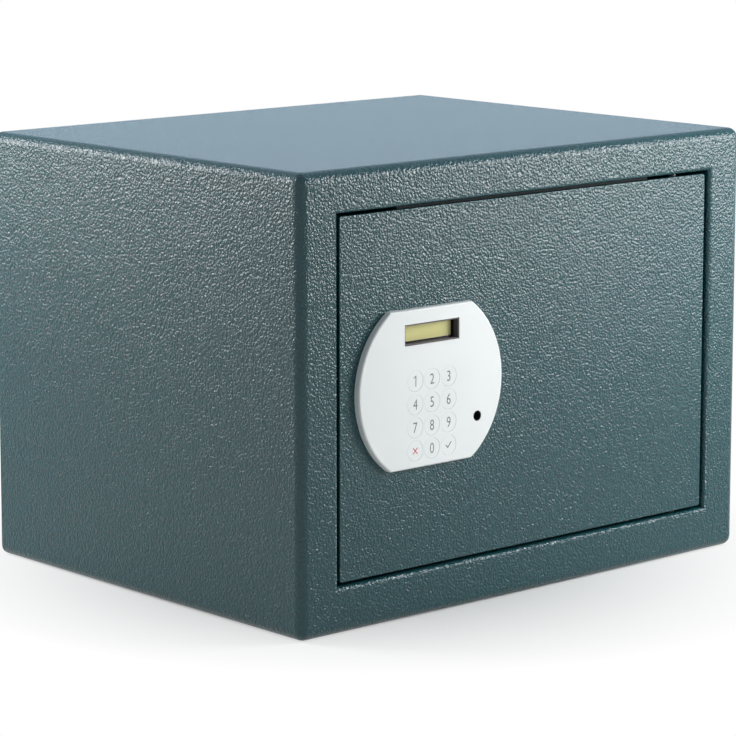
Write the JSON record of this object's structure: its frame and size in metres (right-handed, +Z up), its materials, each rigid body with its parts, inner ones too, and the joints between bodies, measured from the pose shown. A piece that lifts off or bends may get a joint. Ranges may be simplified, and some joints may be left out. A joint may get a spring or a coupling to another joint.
{
  "type": "electronic safe",
  "caption": "Small folded-steel electronic safe with a flush right-hinged door, a round white keypad plate with display, motor-driven bolts and holes for bolting to floor and wall.",
  "frame": {"origin": "bottom centre of the overall box, on the surface that the safe stands on", "axes": "+X to the right seen from the front, -Y out of the door, +Z up"},
  "size_m": [0.35, 0.281, 0.257],
  "materials": {
    "hammertone_paint": "textured semi-gloss hammertone powder coat, dark teal grey",
    "grey_felt": "needled felt, matt",
    "buffer_rubber": "moulded rubber",
    "zinc_steel": "zinc plated sheet",
    "dark_steel": "phosphated and oiled steel",
    "bright_steel": "turned and nickel plated",
    "brass": "machined",
    "white_plastic": "fine moulded satin",
    "white_nylon": "moulded nylon",
    "black_plastic": "fine textured moulding",
    "black_mask": "smooth film",
    "display_field": "smooth olive display",
    "board_laminate": "solder resist",
    "cable_sleeve": "extruded",
    "red_plastic": "moulded",
    "cell_jacket": "printed jacket, plain"
  },
  "bodies": {
    "casing": {"body_shell": "hammertone_paint", "back_panel": "hammertone_paint", "floor_mat": "grey_felt", "door_stops": "hammertone_paint", "door_buffers": "buffer_rubber", "hinge_bracket_upper": "hammertone_paint", "hinge_bracket_lower": "hammertone_paint", "hinge_washer": "black_plastic"},
    "door": {"door_plate": "hammertone_paint", "door_rib": "hammertone_paint", "hinge_lug_upper": "hammertone_paint", "hinge_lug_lower": "hammertone_paint", "hinge_pin_upper": "dark_steel", "hinge_pin_lower": "dark_steel", "door_spring": "bright_steel", "keypad_plate": "white_plastic", "keypad_screws": "bright_steel", "keypad_housing": "black_plastic", "key_mat": "buffer_rubber", "keypad_board": "board_laminate", "display_frame": "black_plastic", "display_mask": "black_mask", "display_module": "display_field", "service_socket": "black_plastic", "lock_chassis": "zinc_steel", "chassis_spacers": "zinc_steel", "cover_posts": "zinc_steel", "bolt_guides": "white_nylon", "shoulder_screws": "bright_steel", "rack_guide": "zinc_steel", "motor_bracket": "zinc_steel", "gearbox": "black_plastic", "motor": "bright_steel", "control_board": "board_laminate", "ribbon_cable": "cable_sleeve", "motor_lead": "red_plastic", "battery_holder": "black_plastic", "batteries": "cell_jacket", "lock_cover": "black_plastic", "cover_screws": "bright_steel"},
    "bolt_bar": {"bolt_carriage": "zinc_steel", "bolt_upper": "bright_steel", "bolt_lower": "bright_steel", "bolt_screws": "zinc_steel", "drive_rack": "brass"},
    "pinion": {"drive_pinion": "brass"},
    "battery_lid": {"battery_lid": "black_plastic"},
    "reset_button": {"reset_button": "red_plastic"},
    "key_1": {"key_1": "white_plastic"},
    "key_2": {"key_2": "white_plastic"},
    "key_3": {"key_3": "white_plastic"},
    "key_4": {"key_4": "white_plastic"},
    "key_5": {"key_5": "white_plastic"},
    "key_6": {"key_6": "white_plastic"},
    "key_7": {"key_7": "white_plastic"},
    "key_8": {"key_8": "white_plastic"},
    "key_9": {"key_9": "white_plastic"},
    "key_clear": {"key_clear": "white_plastic"},
    "key_0": {"key_0": "white_plastic"},
    "key_enter": {"key_enter": "white_plastic"}
  },
  "joints": [
    {"name": "door_hinge", "type": "hinge", "parent": "casing", "child": "door", "pos_m": [0.1245, -0.1275, 0.13025], "axis": [0, 0, 1], "range_deg": [0, 110]},
    {"name": "bolt_slide", "type": "slide", "parent": "door", "child": "bolt_bar", "axis": [-1, 0, 0], "range_m": [0, 0.016]},
    {"name": "pinion_spin", "type": "hinge", "parent": "door", "child": "pinion", "pos_m": [-0.0705, -0.11575, 0.12625], "axis": [0, 1, 0], "range_deg": [0, 153]},
    {"name": "key_1_press", "type": "slide", "parent": "door", "child": "key_1", "axis": [0, 1, 0], "range_m": [0, 0.0006], "stiffness_N_per_m": 800},
    {"name": "key_2_press", "type": "slide", "parent": "door", "child": "key_2", "axis": [0, 1, 0], "range_m": [0, 0.0006], "stiffness_N_per_m": 800},
    {"name": "key_3_press", "type": "slide", "parent": "door", "child": "key_3", "axis": [0, 1, 0], "range_m": [0, 0.0006], "stiffness_N_per_m": 800},
    {"name": "key_4_press", "type": "slide", "parent": "door", "child": "key_4", "axis": [0, 1, 0], "range_m": [0, 0.0006], "stiffness_N_per_m": 800},
    {"name": "key_5_press", "type": "slide", "parent": "door", "child": "key_5", "axis": [0, 1, 0], "range_m": [0, 0.0006], "stiffness_N_per_m": 800},
    {"name": "key_6_press", "type": "slide", "parent": "door", "child": "key_6", "axis": [0, 1, 0], "range_m": [0, 0.0006], "stiffness_N_per_m": 800},
    {"name": "key_7_press", "type": "slide", "parent": "door", "child": "key_7", "axis": [0, 1, 0], "range_m": [0, 0.0006], "stiffness_N_per_m": 800},
    {"name": "key_8_press", "type": "slide", "parent": "door", "child": "key_8", "axis": [0, 1, 0], "range_m": [0, 0.0006], "stiffness_N_per_m": 800},
    {"name": "key_9_press", "type": "slide", "parent": "door", "child": "key_9", "axis": [0, 1, 0], "range_m": [0, 0.0006], "stiffness_N_per_m": 800},
    {"name": "key_clear_press", "type": "slide", "parent": "door", "child": "key_clear", "axis": [0, 1, 0], "range_m": [0, 0.0006], "stiffness_N_per_m": 800},
    {"name": "key_0_press", "type": "slide", "parent": "door", "child": "key_0", "axis": [0, 1, 0], "range_m": [0, 0.0006], "stiffness_N_per_m": 800},
    {"name": "key_enter_press", "type": "slide", "parent": "door", "child": "key_enter", "axis": [0, 1, 0], "range_m": [0, 0.0006], "stiffness_N_per_m": 800},
    {"name": "battery_lid_slide", "type": "slide", "parent": "door", "child": "battery_lid", "axis": [1, 0, 0], "range_m": [0, 0.04]},
    {"name": "reset_press", "type": "slide", "parent": "door", "child": "reset_button", "axis": [0, -1, 0], "range_m": [0, 0.0015], "stiffness_N_per_m": 500}
  ],
  "couplings": [
    {"joint": "pinion_spin", "follows": "bolt_slide", "rad_per_m": 166.67}
  ]
}
